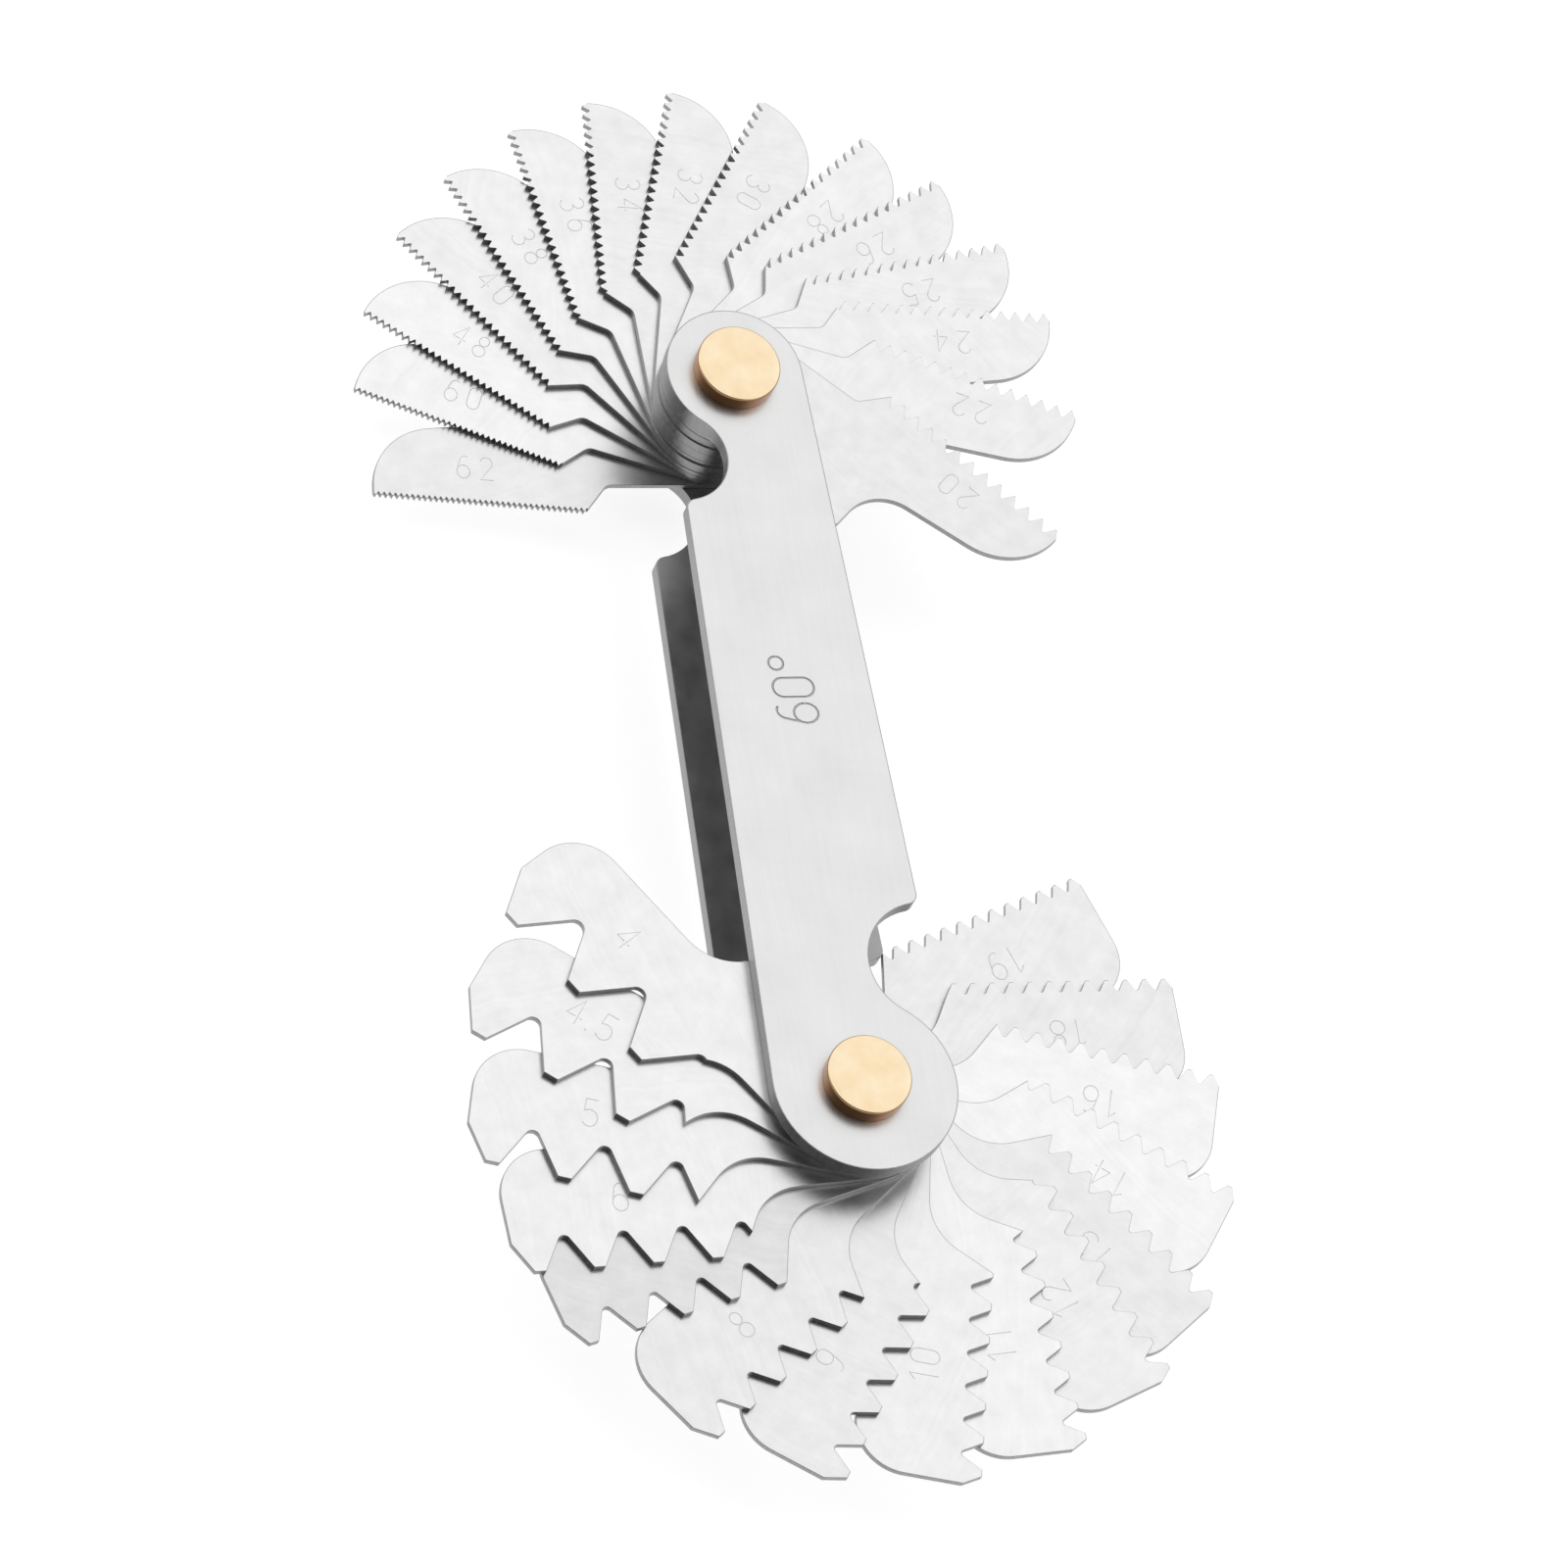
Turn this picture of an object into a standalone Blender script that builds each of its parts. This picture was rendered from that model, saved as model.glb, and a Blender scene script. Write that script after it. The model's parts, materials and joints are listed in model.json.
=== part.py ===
"""Double-ended screw thread pitch gauge.

Thirty thin steel leaves turn on two brass rivets between two tapered steel covers.
Each leaf carries one thread pitch along its edge: the fine pitches are at one end of
the handle and the coarse ones at the other.

Frame: the origin is on the fine rivet's axis, in the plane the gauge rests on (the
faces of the back rivet heads). +Z runs from the back cover to the front cover, and +Y
along the handle from the coarse rivet to the fine one.
"""

import math

import bpy

MM = 0.001
INCH = 25.4 * MM

# Handle
PIVOT_SPACING = 55.9 * MM
COVER_THICKNESS = 1.15 * MM
FINE_END_RADIUS = 5.0 * MM
COARSE_END_RADIUS = 6.65 * MM
FINE_NOTCH_RADIUS = 3.5 * MM
COARSE_NOTCH_RADIUS = 4.5 * MM
NOTCH_MOUTH_ROUND = 0.8 * MM

# Rivets
SHANK_RADIUS = 1.5 * MM
HEAD_RADIUS = 3.02 * MM
HEAD_HEIGHT = 1.2 * MM
HEAD_CHAMFER = 0.12 * MM
HEAD_SEAT_GAP = 0.03 * MM
RIVET_HOLE_CLEARANCE = 0.06 * MM

# Leaves
LEAF_THICKNESS = 0.45 * MM
LEAF_GAP = 0.033 * MM
THREAD_FLANK = math.radians(60)
FIRST_CREST_SETBACK = 0.3   # of the pitch, from the leaf's tip to the first tooth
FINE_ROOT_INSET = 0.15 * MM
COARSE_ROOT_INSET = 0.5 * MM

# Facets
ARC_STEP = math.radians(15)
WELD = 0.01 * MM
RIVET_FACETS = 32
HOLE_FACETS = 16

# Leaf blanks, one for each end. A leaf points along its own +X from the rivet, with its
# teeth on the +Y side. "root" is the round end about the rivet, "hump" the shoulder that
# a fingernail catches, "dip" the hollow behind it and "back" the plain edge out to the tip:
# each is a corner (x, y, radius). "crest_flat" and "root_round" are shares of the pitch.
FINE_BLANK = {
    "root_radius": FINE_END_RADIUS - FINE_ROOT_INSET,
    "hump": (12.6 * MM, -4.3 * MM, 0.9 * MM),
    "dip": (12.6 * MM, 0.72 * MM, 3.3 * MM),
    "back": (24.65 * MM, 2.62 * MM, 5.1 * MM),
    "crest_line": 7.68 * MM,
    "neck_top": 9.16 * MM,
    "neck": (7.55 * MM, 5.4 * MM, 0.8 * MM),
    "crest_flat": 0.125,
    "root_round": 0.10,
    "root_facets": 1,
}
COARSE_BLANK = {
    "root_radius": COARSE_END_RADIUS - COARSE_ROOT_INSET,
    "hump": (11.5 * MM, -4.9 * MM, 0.9 * MM),
    "dip": (11.5 * MM, 1.95 * MM, 4.2 * MM),
    "back": (26.65 * MM, 2.05 * MM, 3.6 * MM),
    "crest_line": 11.08 * MM,
    "neck_top": 10.35 * MM,
    "neck": (7.9 * MM, 6.35 * MM, 4.0 * MM),
    "crest_flat": 0.19,
    "root_round": 0.11,
    "root_facets": 3,
}

# Threads per inch and the direction each leaf is opened to, from the back cover up.
FINE_LEAVES = [
    ("62", 174.2), ("60", 155.9), ("48", 142.2), ("40", 127.1), ("38", 113.6),
    ("36", 99.6), ("34", 85.9), ("32", 71.7), ("30", 56.6), ("28", 39.0),
    ("26", 25.5), ("25", 10.4), ("24", -4.4), ("22", -23.1), ("20", -46.8),
]
COARSE_LEAVES = [
    ("19", 19.8), ("18", -0.1), ("16", -16.5), ("14", -34.7), ("13", -52.6),
    ("12", -67.3), ("11", -85.5), ("10", -103.2), ("9", -123.2), ("8", -142.3),
    ("7", -164.5), ("6", -177.3), ("5", 164.7), ("4.5", 144.4), ("4", 124.3),
]

# Heights, from the resting plane up
BACK_COVER_Z = HEAD_HEIGHT + HEAD_SEAT_GAP
FIRST_LEAF_Z = BACK_COVER_Z + COVER_THICKNESS + LEAF_GAP
LEAF_PITCH = LEAF_THICKNESS + LEAF_GAP
STACK_COUNT = max(len(FINE_LEAVES), len(COARSE_LEAVES))
FRONT_COVER_Z = FIRST_LEAF_Z + STACK_COUNT * LEAF_PITCH
TOTAL_HEIGHT = FRONT_COVER_Z + COVER_THICKNESS + HEAD_SEAT_GAP + HEAD_HEIGHT

FINE_PIVOT = (0.0, 0.0)
COARSE_PIVOT = (0.0, -PIVOT_SPACING)


def clear_scene():
    for item in list(bpy.data.objects):
        bpy.data.objects.remove(item, do_unlink=True)


def metal(name, colour, roughness):
    material = bpy.data.materials.new(name)
    material.use_nodes = True
    shader = material.node_tree.nodes["Principled BSDF"]
    shader.inputs["Base Color"].default_value = (*colour, 1.0)
    shader.inputs["Metallic"].default_value = 1.0
    shader.inputs["Roughness"].default_value = roughness
    return material


def arc(centre, radius, start, end):
    """Points along an arc, both ends included; it runs clockwise when end < start."""
    count = max(1, round(abs(end - start) / ARC_STEP))
    angles = [start + (end - start) * step / count for step in range(count + 1)]
    return [(centre[0] + radius * math.cos(a), centre[1] + radius * math.sin(a)) for a in angles]


def hole_outline(radius, facets):
    """A hole whose flats lie on the radius, so that a shank keeps its clearance all round.

    It runs clockwise, opposite to the outline around it, so that its wall faces into it.
    """
    corner = radius / math.cos(math.pi / facets)
    turn = -2 * math.pi / facets
    return [(corner * math.cos(turn * i), corner * math.sin(turn * i)) for i in range(facets)]


def rounded(corners):
    """A closed outline from corners (x, y, radius), with an arc at each that has a radius."""
    points = []
    for index, (x, y, radius) in enumerate(corners):
        before = corners[index - 1]
        after = corners[(index + 1) % len(corners)]
        if radius == 0:
            points.append((x, y))
            continue
        heading_in = math.atan2(y - before[1], x - before[0])
        heading_out = math.atan2(after[1] - y, after[0] - x)
        turn = (heading_out - heading_in + math.pi) % (2 * math.pi) - math.pi
        side = math.copysign(1.0, turn)
        setback = radius * math.tan(abs(turn) / 2)
        centre = (
            x - setback * math.cos(heading_in) - side * radius * math.sin(heading_in),
            y - setback * math.sin(heading_in) + side * radius * math.cos(heading_in),
        )
        start = heading_in - side * math.pi / 2
        points += arc(centre, radius, start, start + turn)
    return points


def cover_end(end_radius, notch_radius, taper):
    """One end of a cover about its rivet: the round end, the nail notch and its mouth.

    The end points down -Y with its notch on the +X side. The notch is an arc centred on
    the cover's straight side and tangent to the round end. taper is the side's lean.
    """
    normal = (math.cos(taper), math.sin(taper))
    along = (-math.sin(taper), math.cos(taper))
    reach = math.sqrt((end_radius + notch_radius) ** 2 - end_radius ** 2)
    notch = (
        end_radius * normal[0] + reach * along[0],
        end_radius * normal[1] + reach * along[1],
    )
    mouth_reach = math.sqrt((notch_radius + NOTCH_MOUTH_ROUND) ** 2 - NOTCH_MOUTH_ROUND ** 2)
    mouth = (
        notch[0] - NOTCH_MOUTH_ROUND * normal[0] + mouth_reach * along[0],
        notch[1] - NOTCH_MOUTH_ROUND * normal[1] + mouth_reach * along[1],
    )
    to_notch = math.atan2(notch[1], notch[0])
    to_mouth = math.atan2(mouth[1] - notch[1], mouth[0] - notch[0])
    round_end = arc((0.0, 0.0), end_radius, math.pi - taper, 2 * math.pi + to_notch)
    notch_arc = arc(notch, notch_radius, math.pi + to_notch, to_mouth)
    mouth_arc = arc(mouth, NOTCH_MOUTH_ROUND, to_mouth - math.pi, taper)
    return round_end + notch_arc[1:] + mouth_arc[1:]


def cover_outline():
    taper = math.asin((COARSE_END_RADIUS - FINE_END_RADIUS) / PIVOT_SPACING)
    coarse = cover_end(COARSE_END_RADIUS, COARSE_NOTCH_RADIUS, taper)
    fine = cover_end(FINE_END_RADIUS, FINE_NOTCH_RADIUS, -taper)
    return (
        [(x + COARSE_PIVOT[0], y + COARSE_PIVOT[1]) for x, y in coarse]
        + [(FINE_PIVOT[0] - x, FINE_PIVOT[1] - y) for x, y in fine]
    )


def root_arc(radius, neck, hump):
    """The leaf's round end about the rivet, from the neck's tangent point to the hump's."""
    neck_turn = math.acos(radius / math.hypot(neck[0], neck[1]))
    hump_turn = math.acos(radius / math.hypot(hump[0], hump[1]))
    start = math.atan2(neck[1], neck[0]) + neck_turn
    end = 2 * math.pi + math.atan2(hump[1], hump[0]) - hump_turn
    return arc((0.0, 0.0), radius, start, end)


def plain_outline(blank):
    """The leaf before its teeth are cut, from the round end by the back edge to the neck."""
    tip_x = blank["back"][0]
    corners = [(x, y, 0) for x, y in root_arc(blank["root_radius"], blank["neck"], blank["hump"])]
    corners += [blank["hump"], blank["dip"], blank["back"]]
    corners += [(tip_x, blank["crest_line"], 0), (blank["neck_top"], blank["crest_line"], 0)]
    corners.append(blank["neck"])
    return rounded(corners)


def thread_form(blank, pitch):
    """Crests and rounded valleys from the leaf's tip inwards, a valley past the neck."""
    crest = blank["crest_flat"] * pitch
    root = blank["root_round"] * pitch
    half_valley = (pitch - crest) / 2
    sharp_root = blank["crest_line"] - half_valley * math.tan(THREAD_FLANK)
    root_centre = sharp_root + root / math.cos(THREAD_FLANK)
    setback = FIRST_CREST_SETBACK * pitch
    tip_x = blank["back"][0]
    points = [(tip_x, blank["crest_line"] - setback * math.tan(THREAD_FLANK))]
    x = tip_x - setback
    while x > blank["neck_top"] - pitch:
        points += [(x, blank["crest_line"]), (x - crest, blank["crest_line"])]
        middle = x - crest - half_valley
        for step in range(blank["root_facets"] + 1):
            angle = THREAD_FLANK - math.pi / 2 - 2 * THREAD_FLANK * step / blank["root_facets"]
            points.append((middle + root * math.cos(angle), root_centre + root * math.sin(angle)))
        x -= pitch
    return points


def past_edge(edge, point):
    """How far a point lies beyond a falling edge, measured along X."""
    for upper, lower in zip(edge, edge[1:]):
        if lower[1] <= point[1] <= upper[1]:
            share = (point[1] - lower[1]) / (upper[1] - lower[1])
            return lower[0] + (upper[0] - lower[0]) * share - point[0]
    return edge[-1][0] - point[0]


def leaf_outline(blank, pitch):
    """The plain blank with its thread cut from the tip to where it runs out at the neck."""
    plain = plain_outline(blank)
    neck_start = plain.index((blank["neck_top"], blank["crest_line"]))
    neck = plain[neck_start:]
    toothed = []
    for point in thread_form(blank, pitch):
        past = past_edge(neck, point)
        if past >= 0:
            inside = toothed[-1]
            share = past_edge(neck, inside) / (past_edge(neck, inside) - past)
            toothed.append(tuple(a + (b - a) * share for a, b in zip(inside, point)))
            break
        toothed.append(point)
    run_out = toothed[-1][1]
    return plain[:neck_start - 1] + toothed + [point for point in neck if point[1] < run_out]


def plate(name, outlines, thickness, location, material, collection):
    """A flat piece: the first outline is its edge and the others are holes in it."""
    curve = bpy.data.curves.new(name, "CURVE")
    curve.dimensions = "2D"
    curve.fill_mode = "BOTH"
    curve.extrude = thickness / 2
    for outline in outlines:
        spline = curve.splines.new("POLY")
        spline.points.add(len(outline) - 1)
        for point, (x, y) in zip(spline.points, outline):
            point.co = (x, y, 0.0, 1.0)
        spline.use_cyclic_u = True
    curve.materials.append(material)
    piece = bpy.data.objects.new(name, curve)
    piece.location = (location[0], location[1], location[2] + thickness / 2)
    collection.objects.link(piece)
    return piece


def build_cover(name, height, material, collection):
    hole = hole_outline(SHANK_RADIUS + RIVET_HOLE_CLEARANCE, HOLE_FACETS)
    outlines = [
        cover_outline(),
        [(x + FINE_PIVOT[0], y + FINE_PIVOT[1]) for x, y in hole],
        [(x + COARSE_PIVOT[0], y + COARSE_PIVOT[1]) for x, y in hole],
    ]
    return plate(name, outlines, COVER_THICKNESS, (0.0, 0.0, height), material, collection)


def build_rivet(name, pivot, material, collection):
    """A round shank with a flat head at each end, turned from one profile."""
    middle = TOTAL_HEIGHT / 2
    upper = [
        (0.0, TOTAL_HEIGHT - middle),
        (HEAD_RADIUS - HEAD_CHAMFER, TOTAL_HEIGHT - middle),
        (HEAD_RADIUS, TOTAL_HEIGHT - HEAD_CHAMFER - middle),
        (HEAD_RADIUS, TOTAL_HEIGHT - HEAD_HEIGHT - middle),
        (SHANK_RADIUS, TOTAL_HEIGHT - HEAD_HEIGHT - middle),
    ]
    profile = upper + [(x, -z) for x, z in reversed(upper)]
    mesh = bpy.data.meshes.new(name)
    edges = [(i, i + 1) for i in range(len(profile) - 1)]
    mesh.from_pydata([(x, 0.0, z) for x, z in profile], edges, [])
    mesh.materials.append(material)
    piece = bpy.data.objects.new(name, mesh)
    piece.location = (pivot[0], pivot[1], middle)
    collection.objects.link(piece)
    screw = piece.modifiers.new("turn", "SCREW")
    screw.steps = RIVET_FACETS
    screw.render_steps = RIVET_FACETS
    screw.use_merge_vertices = True
    screw.merge_threshold = WELD
    return piece


def build_leaves(leaves, blank, pivot, material, collection):
    """One end's leaves, each with its origin on its rivet's axis, turned open."""
    axis = bpy.data.objects.new("pivot_" + leaves[0][0] + "_to_" + leaves[-1][0], None)
    axis.location = (pivot[0], pivot[1], FIRST_LEAF_Z)
    collection.objects.link(axis)
    hole = hole_outline(SHANK_RADIUS + RIVET_HOLE_CLEARANCE, HOLE_FACETS)
    for index, (pitch_mark, opened) in enumerate(leaves):
        outline = leaf_outline(blank, INCH / float(pitch_mark))
        name = "leaf_" + pitch_mark.replace(".", "_") + "_tpi"
        place = (0.0, 0.0, index * LEAF_PITCH)
        leaf = plate(name, [outline, hole], LEAF_THICKNESS, place, material, collection)
        leaf.rotation_euler = (0.0, 0.0, math.radians(opened))
        leaf.parent = axis


def main():
    clear_scene()
    gauge = bpy.data.collections.new("thread_pitch_gauge")
    bpy.context.scene.collection.children.link(gauge)

    cover_steel = metal("cover_steel", (0.62, 0.62, 0.62), 0.34)
    leaf_steel = metal("leaf_steel", (0.80, 0.80, 0.79), 0.28)
    brass = metal("rivet_brass", (0.83, 0.68, 0.42), 0.22)

    build_cover("back_cover", BACK_COVER_Z, cover_steel, gauge)
    build_cover("front_cover", FRONT_COVER_Z, cover_steel, gauge)
    build_rivet("fine_rivet", FINE_PIVOT, brass, gauge)
    build_rivet("coarse_rivet", COARSE_PIVOT, brass, gauge)
    build_leaves(FINE_LEAVES, FINE_BLANK, FINE_PIVOT, leaf_steel, gauge)
    build_leaves(COARSE_LEAVES, COARSE_BLANK, COARSE_PIVOT, leaf_steel, gauge)


main()
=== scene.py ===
# %% [markdown]
# # A double-ended screw pitch gauge
# Thirty thin steel leaves fan out from two brass rivets at the ends of a flat steel
# handle. Each leaf has the teeth of one screw thread along its edge and the number of
# threads per inch engraved on its face. The frame that is loaded here already holds
# every piece at its real size and place. This script gives each of them its finished
# shape and surface: rounded edges, finely cut teeth, engraved marks, satin steel and
# polished brass.

# %% Load the frame
import json
import math
import random

import bmesh
import bpy
import numpy as np
from mathutils import Matrix, Vector


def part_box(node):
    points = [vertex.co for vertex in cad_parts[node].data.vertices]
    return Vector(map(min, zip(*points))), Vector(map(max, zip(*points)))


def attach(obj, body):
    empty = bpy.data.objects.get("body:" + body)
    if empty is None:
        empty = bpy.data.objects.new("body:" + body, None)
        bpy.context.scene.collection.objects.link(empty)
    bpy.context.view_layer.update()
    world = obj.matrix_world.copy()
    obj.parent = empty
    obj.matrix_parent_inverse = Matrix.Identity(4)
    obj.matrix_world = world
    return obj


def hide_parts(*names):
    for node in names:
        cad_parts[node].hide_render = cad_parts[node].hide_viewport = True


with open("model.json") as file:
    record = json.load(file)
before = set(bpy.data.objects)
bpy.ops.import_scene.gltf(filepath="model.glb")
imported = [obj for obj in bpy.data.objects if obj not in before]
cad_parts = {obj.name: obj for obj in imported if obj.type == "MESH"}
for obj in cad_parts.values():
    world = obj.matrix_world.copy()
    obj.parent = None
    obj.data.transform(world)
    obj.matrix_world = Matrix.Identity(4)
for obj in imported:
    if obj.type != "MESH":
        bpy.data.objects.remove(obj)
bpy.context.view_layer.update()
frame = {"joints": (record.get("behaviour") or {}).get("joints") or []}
MM = 0.001
INCH = 25.4 * MM

# %% [markdown]
# ## Where the pieces are
# A rivet is centred on its own axis, so the middle of its box is the axis that the
# leaves of that end turn on. The covers' boxes give their heights in the stack.


# %% Measure the rivets' axes
def axis_of(node_name):
    """The middle of a piece's box."""
    low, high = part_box(node_name)
    return (low + high) / 2


PIVOTS = {"fine": axis_of("fine_rivet"), "coarse": axis_of("coarse_rivet")}
for end, pivot in PIVOTS.items():
    print(end, "rivet axis at", [round(v / MM, 2) for v in pivot.xy], "mm")

# %% [markdown]
# ## The camera
# The gauge is seen from well above and from its left, with the camera rolled so that the
# handle leans to the left. A long lens from 0.8 m away keeps the handle's sides almost
# parallel. The camera's three axes are worked out from a heading, a tilt and a roll,
# which are easier to read and to change than nine numbers.

# %% Place the camera
CAMERA_TARGET = Vector((-0.14, -30.32, 6.0)) * MM
CAMERA_DISTANCE = 800.9 * MM
CAMERA_HEADING = math.radians(35.52)   # clockwise from +Y
CAMERA_TILT = math.radians(57.39)      # down from level
CAMERA_ROLL = math.radians(29.95)
CAMERA_LENS = 263.9                    # in mm, on a 36 mm wide sensor
SENSOR_WIDTH = 36.0
CAMERA_CLIP = (0.05, 10.0)             # in metres


def direction(heading, tilt):
    """The unit vector that points along a heading and down by a tilt."""
    level = math.cos(tilt)
    return Vector((math.sin(heading) * level, math.cos(heading) * level, -math.sin(tilt)))


looking = direction(CAMERA_HEADING, CAMERA_TILT)
level_right = looking.cross(Vector((0, 0, 1))).normalized()
level_up = level_right.cross(looking)
right = level_right * math.cos(CAMERA_ROLL) + level_up * math.sin(CAMERA_ROLL)
up = level_up * math.cos(CAMERA_ROLL) - level_right * math.sin(CAMERA_ROLL)

camera_data = bpy.data.cameras.new("camera")
camera_data.lens = CAMERA_LENS
camera_data.sensor_width = SENSOR_WIDTH
camera_data.clip_start, camera_data.clip_end = CAMERA_CLIP
camera = bpy.data.objects.new("camera", camera_data)
bpy.context.scene.collection.objects.link(camera)
turn = Matrix((right, up, -looking)).transposed()
camera.matrix_world = Matrix.Translation(CAMERA_TARGET - looking * CAMERA_DISTANCE) @ turn.to_4x4()
bpy.context.scene.camera = camera
bpy.context.scene.view_settings.view_transform = "Standard"
print("camera at", [round(v / MM, 1) for v in camera.location], "mm")

# %% [markdown]
# ## A small helper for node trees
# Materials, the world and Geometry Nodes are all trees of nodes. This helper adds one
# node, sets its options, and fills each of its sockets with a value or with a link,
# so that a tree reads as a list of steps.


# %% Write the node helper
def add(tree, kind, inputs=None, **options):
    """Adds a node. inputs gives each socket, by name or number, a value or another socket."""
    made = tree.nodes.new(kind)
    for name, value in options.items():
        setattr(made, name, value)
    for socket, value in (inputs or {}).items():
        if isinstance(value, bpy.types.NodeSocket):
            tree.links.new(value, made.inputs[socket])
        else:
            made.inputs[socket].default_value = value
    return made


# %% [markdown]
# ## The light tent
# Bright steel shows whatever is around it. Flat polished tools are often lit inside a
# white tent, which fills every reflection with white, and the lens looks in through a
# dark opening. The faces of the leaves mirror the white far side of the tent. The cut
# edges that face the lens mirror the dark opening, which is what draws each leaf's
# outline. The world is that tent: white, greyer towards the foot of its walls, and dark
# about one direction. The opening has a sill, below which the tent is white again, so
# that the gauge is bright from the other sides as well.

# %% Light the scene
TENT_WHITE = 1.75
TENT_OPENING = 0.05
OPENING_DIRECTION = Vector((-0.42, -0.56, 0.71)).normalized()
OPENING_CORE = math.radians(36)
OPENING_EDGE = math.radians(62)
OPENING_SILL = (0.48, 0.72)  # the heights, as sines, over which the opening begins
WALL_FOOT = 0.35             # how bright the tent's walls are at the floor, of its white
WALL_TOP = 0.80              # the height, as a sine, from which the tent is fully white
KEY_PLACE = Vector((-0.55, 0.60, 0.70))
KEY_SIZE = 0.35
KEY_POWER = 0.5

world = bpy.data.worlds.new("light tent")
bpy.context.scene.world = world
world.use_nodes = True
tent = world.node_tree
tent.nodes.clear()
around = add(tent, "ShaderNodeTexCoord")
toward_opening = add(tent, "ShaderNodeVectorMath", {0: around.outputs["Generated"],
                     1: OPENING_DIRECTION}, operation="DOT_PRODUCT")
across = add(tent, "ShaderNodeMapRange", {
    "Value": toward_opening.outputs["Value"],
    "From Min": math.cos(OPENING_EDGE), "From Max": math.cos(OPENING_CORE)},
    interpolation_type="SMOOTHSTEP")
height = add(tent, "ShaderNodeSeparateXYZ", {0: around.outputs["Generated"]})
above_sill = add(tent, "ShaderNodeMapRange", {
    "Value": height.outputs["Z"], "From Min": OPENING_SILL[0], "From Max": OPENING_SILL[1]},
    interpolation_type="SMOOTHSTEP")
opening = add(tent, "ShaderNodeMath", {0: across.outputs["Result"],
              1: above_sill.outputs["Result"]}, operation="MULTIPLY")
brightness = add(tent, "ShaderNodeMapRange", {"Value": opening.outputs[0],
                 "To Min": TENT_WHITE, "To Max": TENT_OPENING})
walls = add(tent, "ShaderNodeMapRange", {
    "Value": height.outputs["Z"], "From Min": 0.0, "From Max": WALL_TOP,
    "To Min": WALL_FOOT, "To Max": 1.0}, interpolation_type="SMOOTHSTEP")
strength = add(tent, "ShaderNodeMath", {0: brightness.outputs["Result"],
               1: walls.outputs["Result"]}, operation="MULTIPLY")
glow = add(tent, "ShaderNodeBackground", {"Strength": strength.outputs[0]})
add(tent, "ShaderNodeOutputWorld", {"Surface": glow.outputs["Background"]})


def softbox(name, place, size, power):
    """A square light that faces the middle of the handle."""
    data = bpy.data.lights.new(name, "AREA")
    data.size = size
    data.energy = power
    lamp = bpy.data.objects.new(name, data)
    bpy.context.scene.collection.objects.link(lamp)
    lamp.location = place
    lamp.rotation_euler = (CAMERA_TARGET - place).to_track_quat("-Z", "Y").to_euler()
    return lamp


key = softbox("key softbox", KEY_PLACE, KEY_SIZE, KEY_POWER)
print("tent and", key.name, "lit")

# %% [markdown]
# ## The floor
# A plain white sheet, just under the rivet heads that the gauge rests on. A little light
# of its own stands for the light that comes through a tent's translucent bottom, and
# keeps the sheet white under the leaves.

# %% Lay the floor
FLOOR_SIZE = 4.0
FLOOR_GREY = 0.36
FLOOR_GLOW = 0.80
FLOOR_DROP = 0.02 * MM       # how far the sheet lies under the rivet heads
paper = bpy.data.materials.new("white sheet")
paper.use_nodes = True
sheet_shader = paper.node_tree.nodes["Principled BSDF"]
for socket, value in {
        "Base Color": (FLOOR_GREY, FLOOR_GREY, FLOOR_GREY, 1), "Roughness": 0.9,
        "Specular IOR Level": 0.1, "Emission Color": (1, 1, 1, 1),
        "Emission Strength": FLOOR_GLOW}.items():
    sheet_shader.inputs[socket].default_value = value
bpy.ops.mesh.primitive_plane_add(size=FLOOR_SIZE, location=(0, CAMERA_TARGET.y, -FLOOR_DROP))
floor = bpy.context.object
floor.name = "floor"
floor.data.materials.append(paper)
print("floor laid,", FLOOR_SIZE, "m across")

# %% [markdown]
# ## Helpers for the metals
# Every surface here is bare metal, and every one is made the same way: noise patterns
# that run from 0 to 1 are spread over a range of tones or of roughness and linked into
# the shader, and some of them also stand up as fine marks.


# %% Write the metal helpers
def metal(name):
    """A new all-metal material with its tree and its shader."""
    material = bpy.data.materials.new(name)
    material.use_nodes = True
    tree = material.node_tree
    shader = tree.nodes["Principled BSDF"]
    shader.inputs["Metallic"].default_value = 1.0
    return material, tree, shader


def spread(tree, source, low, high):
    """Turns a 0 to 1 pattern into values from low to high."""
    return add(tree, "ShaderNodeMapRange", {"Value": source, "To Min": low, "To Max": high}
               ).outputs["Result"]


def total(tree, first, second):
    """The sum of two values."""
    return add(tree, "ShaderNodeMath", {0: first, 1: second}, operation="ADD").outputs[0]


def change(tree, tone, source, most):
    """Lets a 0 to 1 pattern darken and lighten a tone by at most that much."""
    return total(tree, tone, spread(tree, source, -most, most))


def noise(tree, place, scale, detail=2.0, roughness=0.5):
    """A 0 to 1 noise pattern in space."""
    return add(tree, "ShaderNodeTexNoise", {"Vector": place, "Scale": scale, "Detail": detail,
               "Roughness": roughness}).outputs["Fac"]


def noise_along(tree, distance, scale, detail, roughness):
    """A 0 to 1 noise pattern that changes only with a distance."""
    return add(tree, "ShaderNodeTexNoise", {"W": distance, "Scale": scale, "Detail": detail,
               "Roughness": roughness}, noise_dimensions="1D").outputs["Fac"]


def on_object(tree):
    """The place on the object, in metres."""
    return add(tree, "ShaderNodeTexCoord").outputs["Object"]


def stretched(tree, place, scale, turn=0.0):
    """A place scaled along each axis, after a turn about Z in radians."""
    return add(tree, "ShaderNodeMapping", {"Vector": place, "Rotation": (0, 0, turn),
               "Scale": scale}).outputs[0]


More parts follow.
